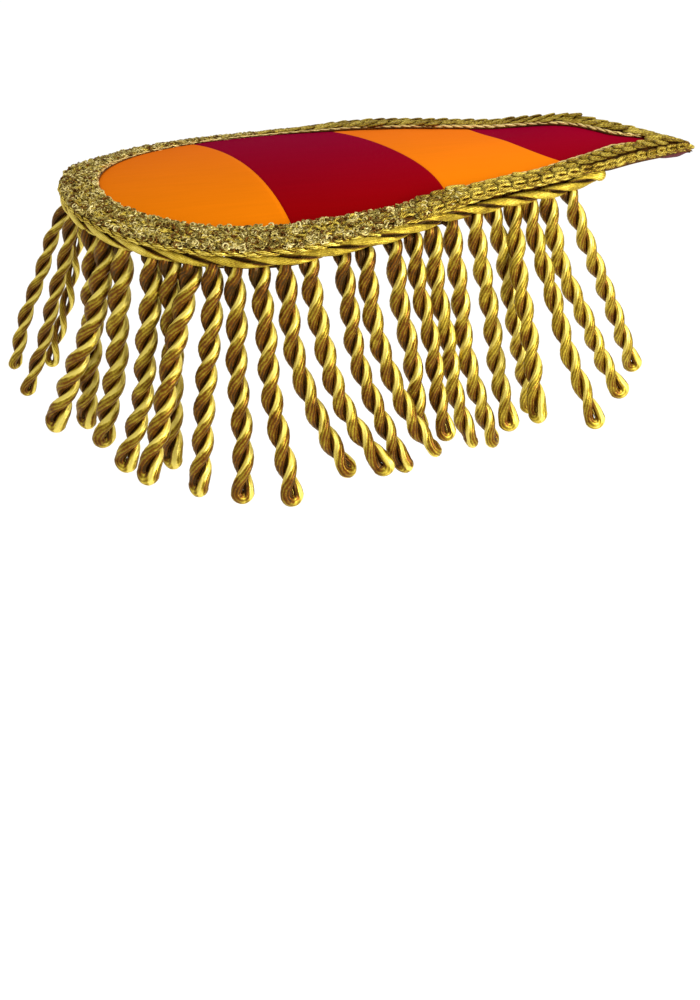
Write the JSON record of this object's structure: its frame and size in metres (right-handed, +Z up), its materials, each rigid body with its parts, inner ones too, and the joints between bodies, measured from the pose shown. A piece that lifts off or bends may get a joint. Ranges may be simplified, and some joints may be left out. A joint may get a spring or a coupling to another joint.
{
  "type": "epaulette",
  "caption": "Shoulder board with a wide round end and a pointed strap end, slanted orange and crimson cloth stripes, a gold braid edge and a hanging fringe of twisted gold cords.",
  "frame": {"origin": "on the underside of the board at its crown, where it sits on the shoulder", "axes": "+X along the board from the round outer end to the pointed end, +Z up and away from the shoulder, -Y towards the fringed long edge"},
  "size_m": [0.2025, 0.1123, 0.0767],
  "materials": {
    "maroon_backing": "matt felt over stiff board",
    "orange_cloth": "smooth satin weave",
    "crimson_cloth": "smooth satin weave",
    "gold_braid": "metallic thread, glossy",
    "gold_cord": "twisted metallic thread, glossy",
    "pin_steel": "satin"
  },
  "bodies": {
    "root": {"backing": "maroon_backing", "panel_outer": "orange_cloth", "panel_middle": "crimson_cloth", "panel_strap": "orange_cloth", "panel_tip": "crimson_cloth", "braid": "gold_braid", "header_cord": "gold_cord", "fringe_end": "gold_cord", "fringe_corner": "gold_cord", "fringe_left": "gold_cord", "fringe_middle": "gold_cord", "fringe_right": "gold_cord", "fringe_strap": "gold_cord", "clasp": "pin_steel"}
  },
  "joints": []
}
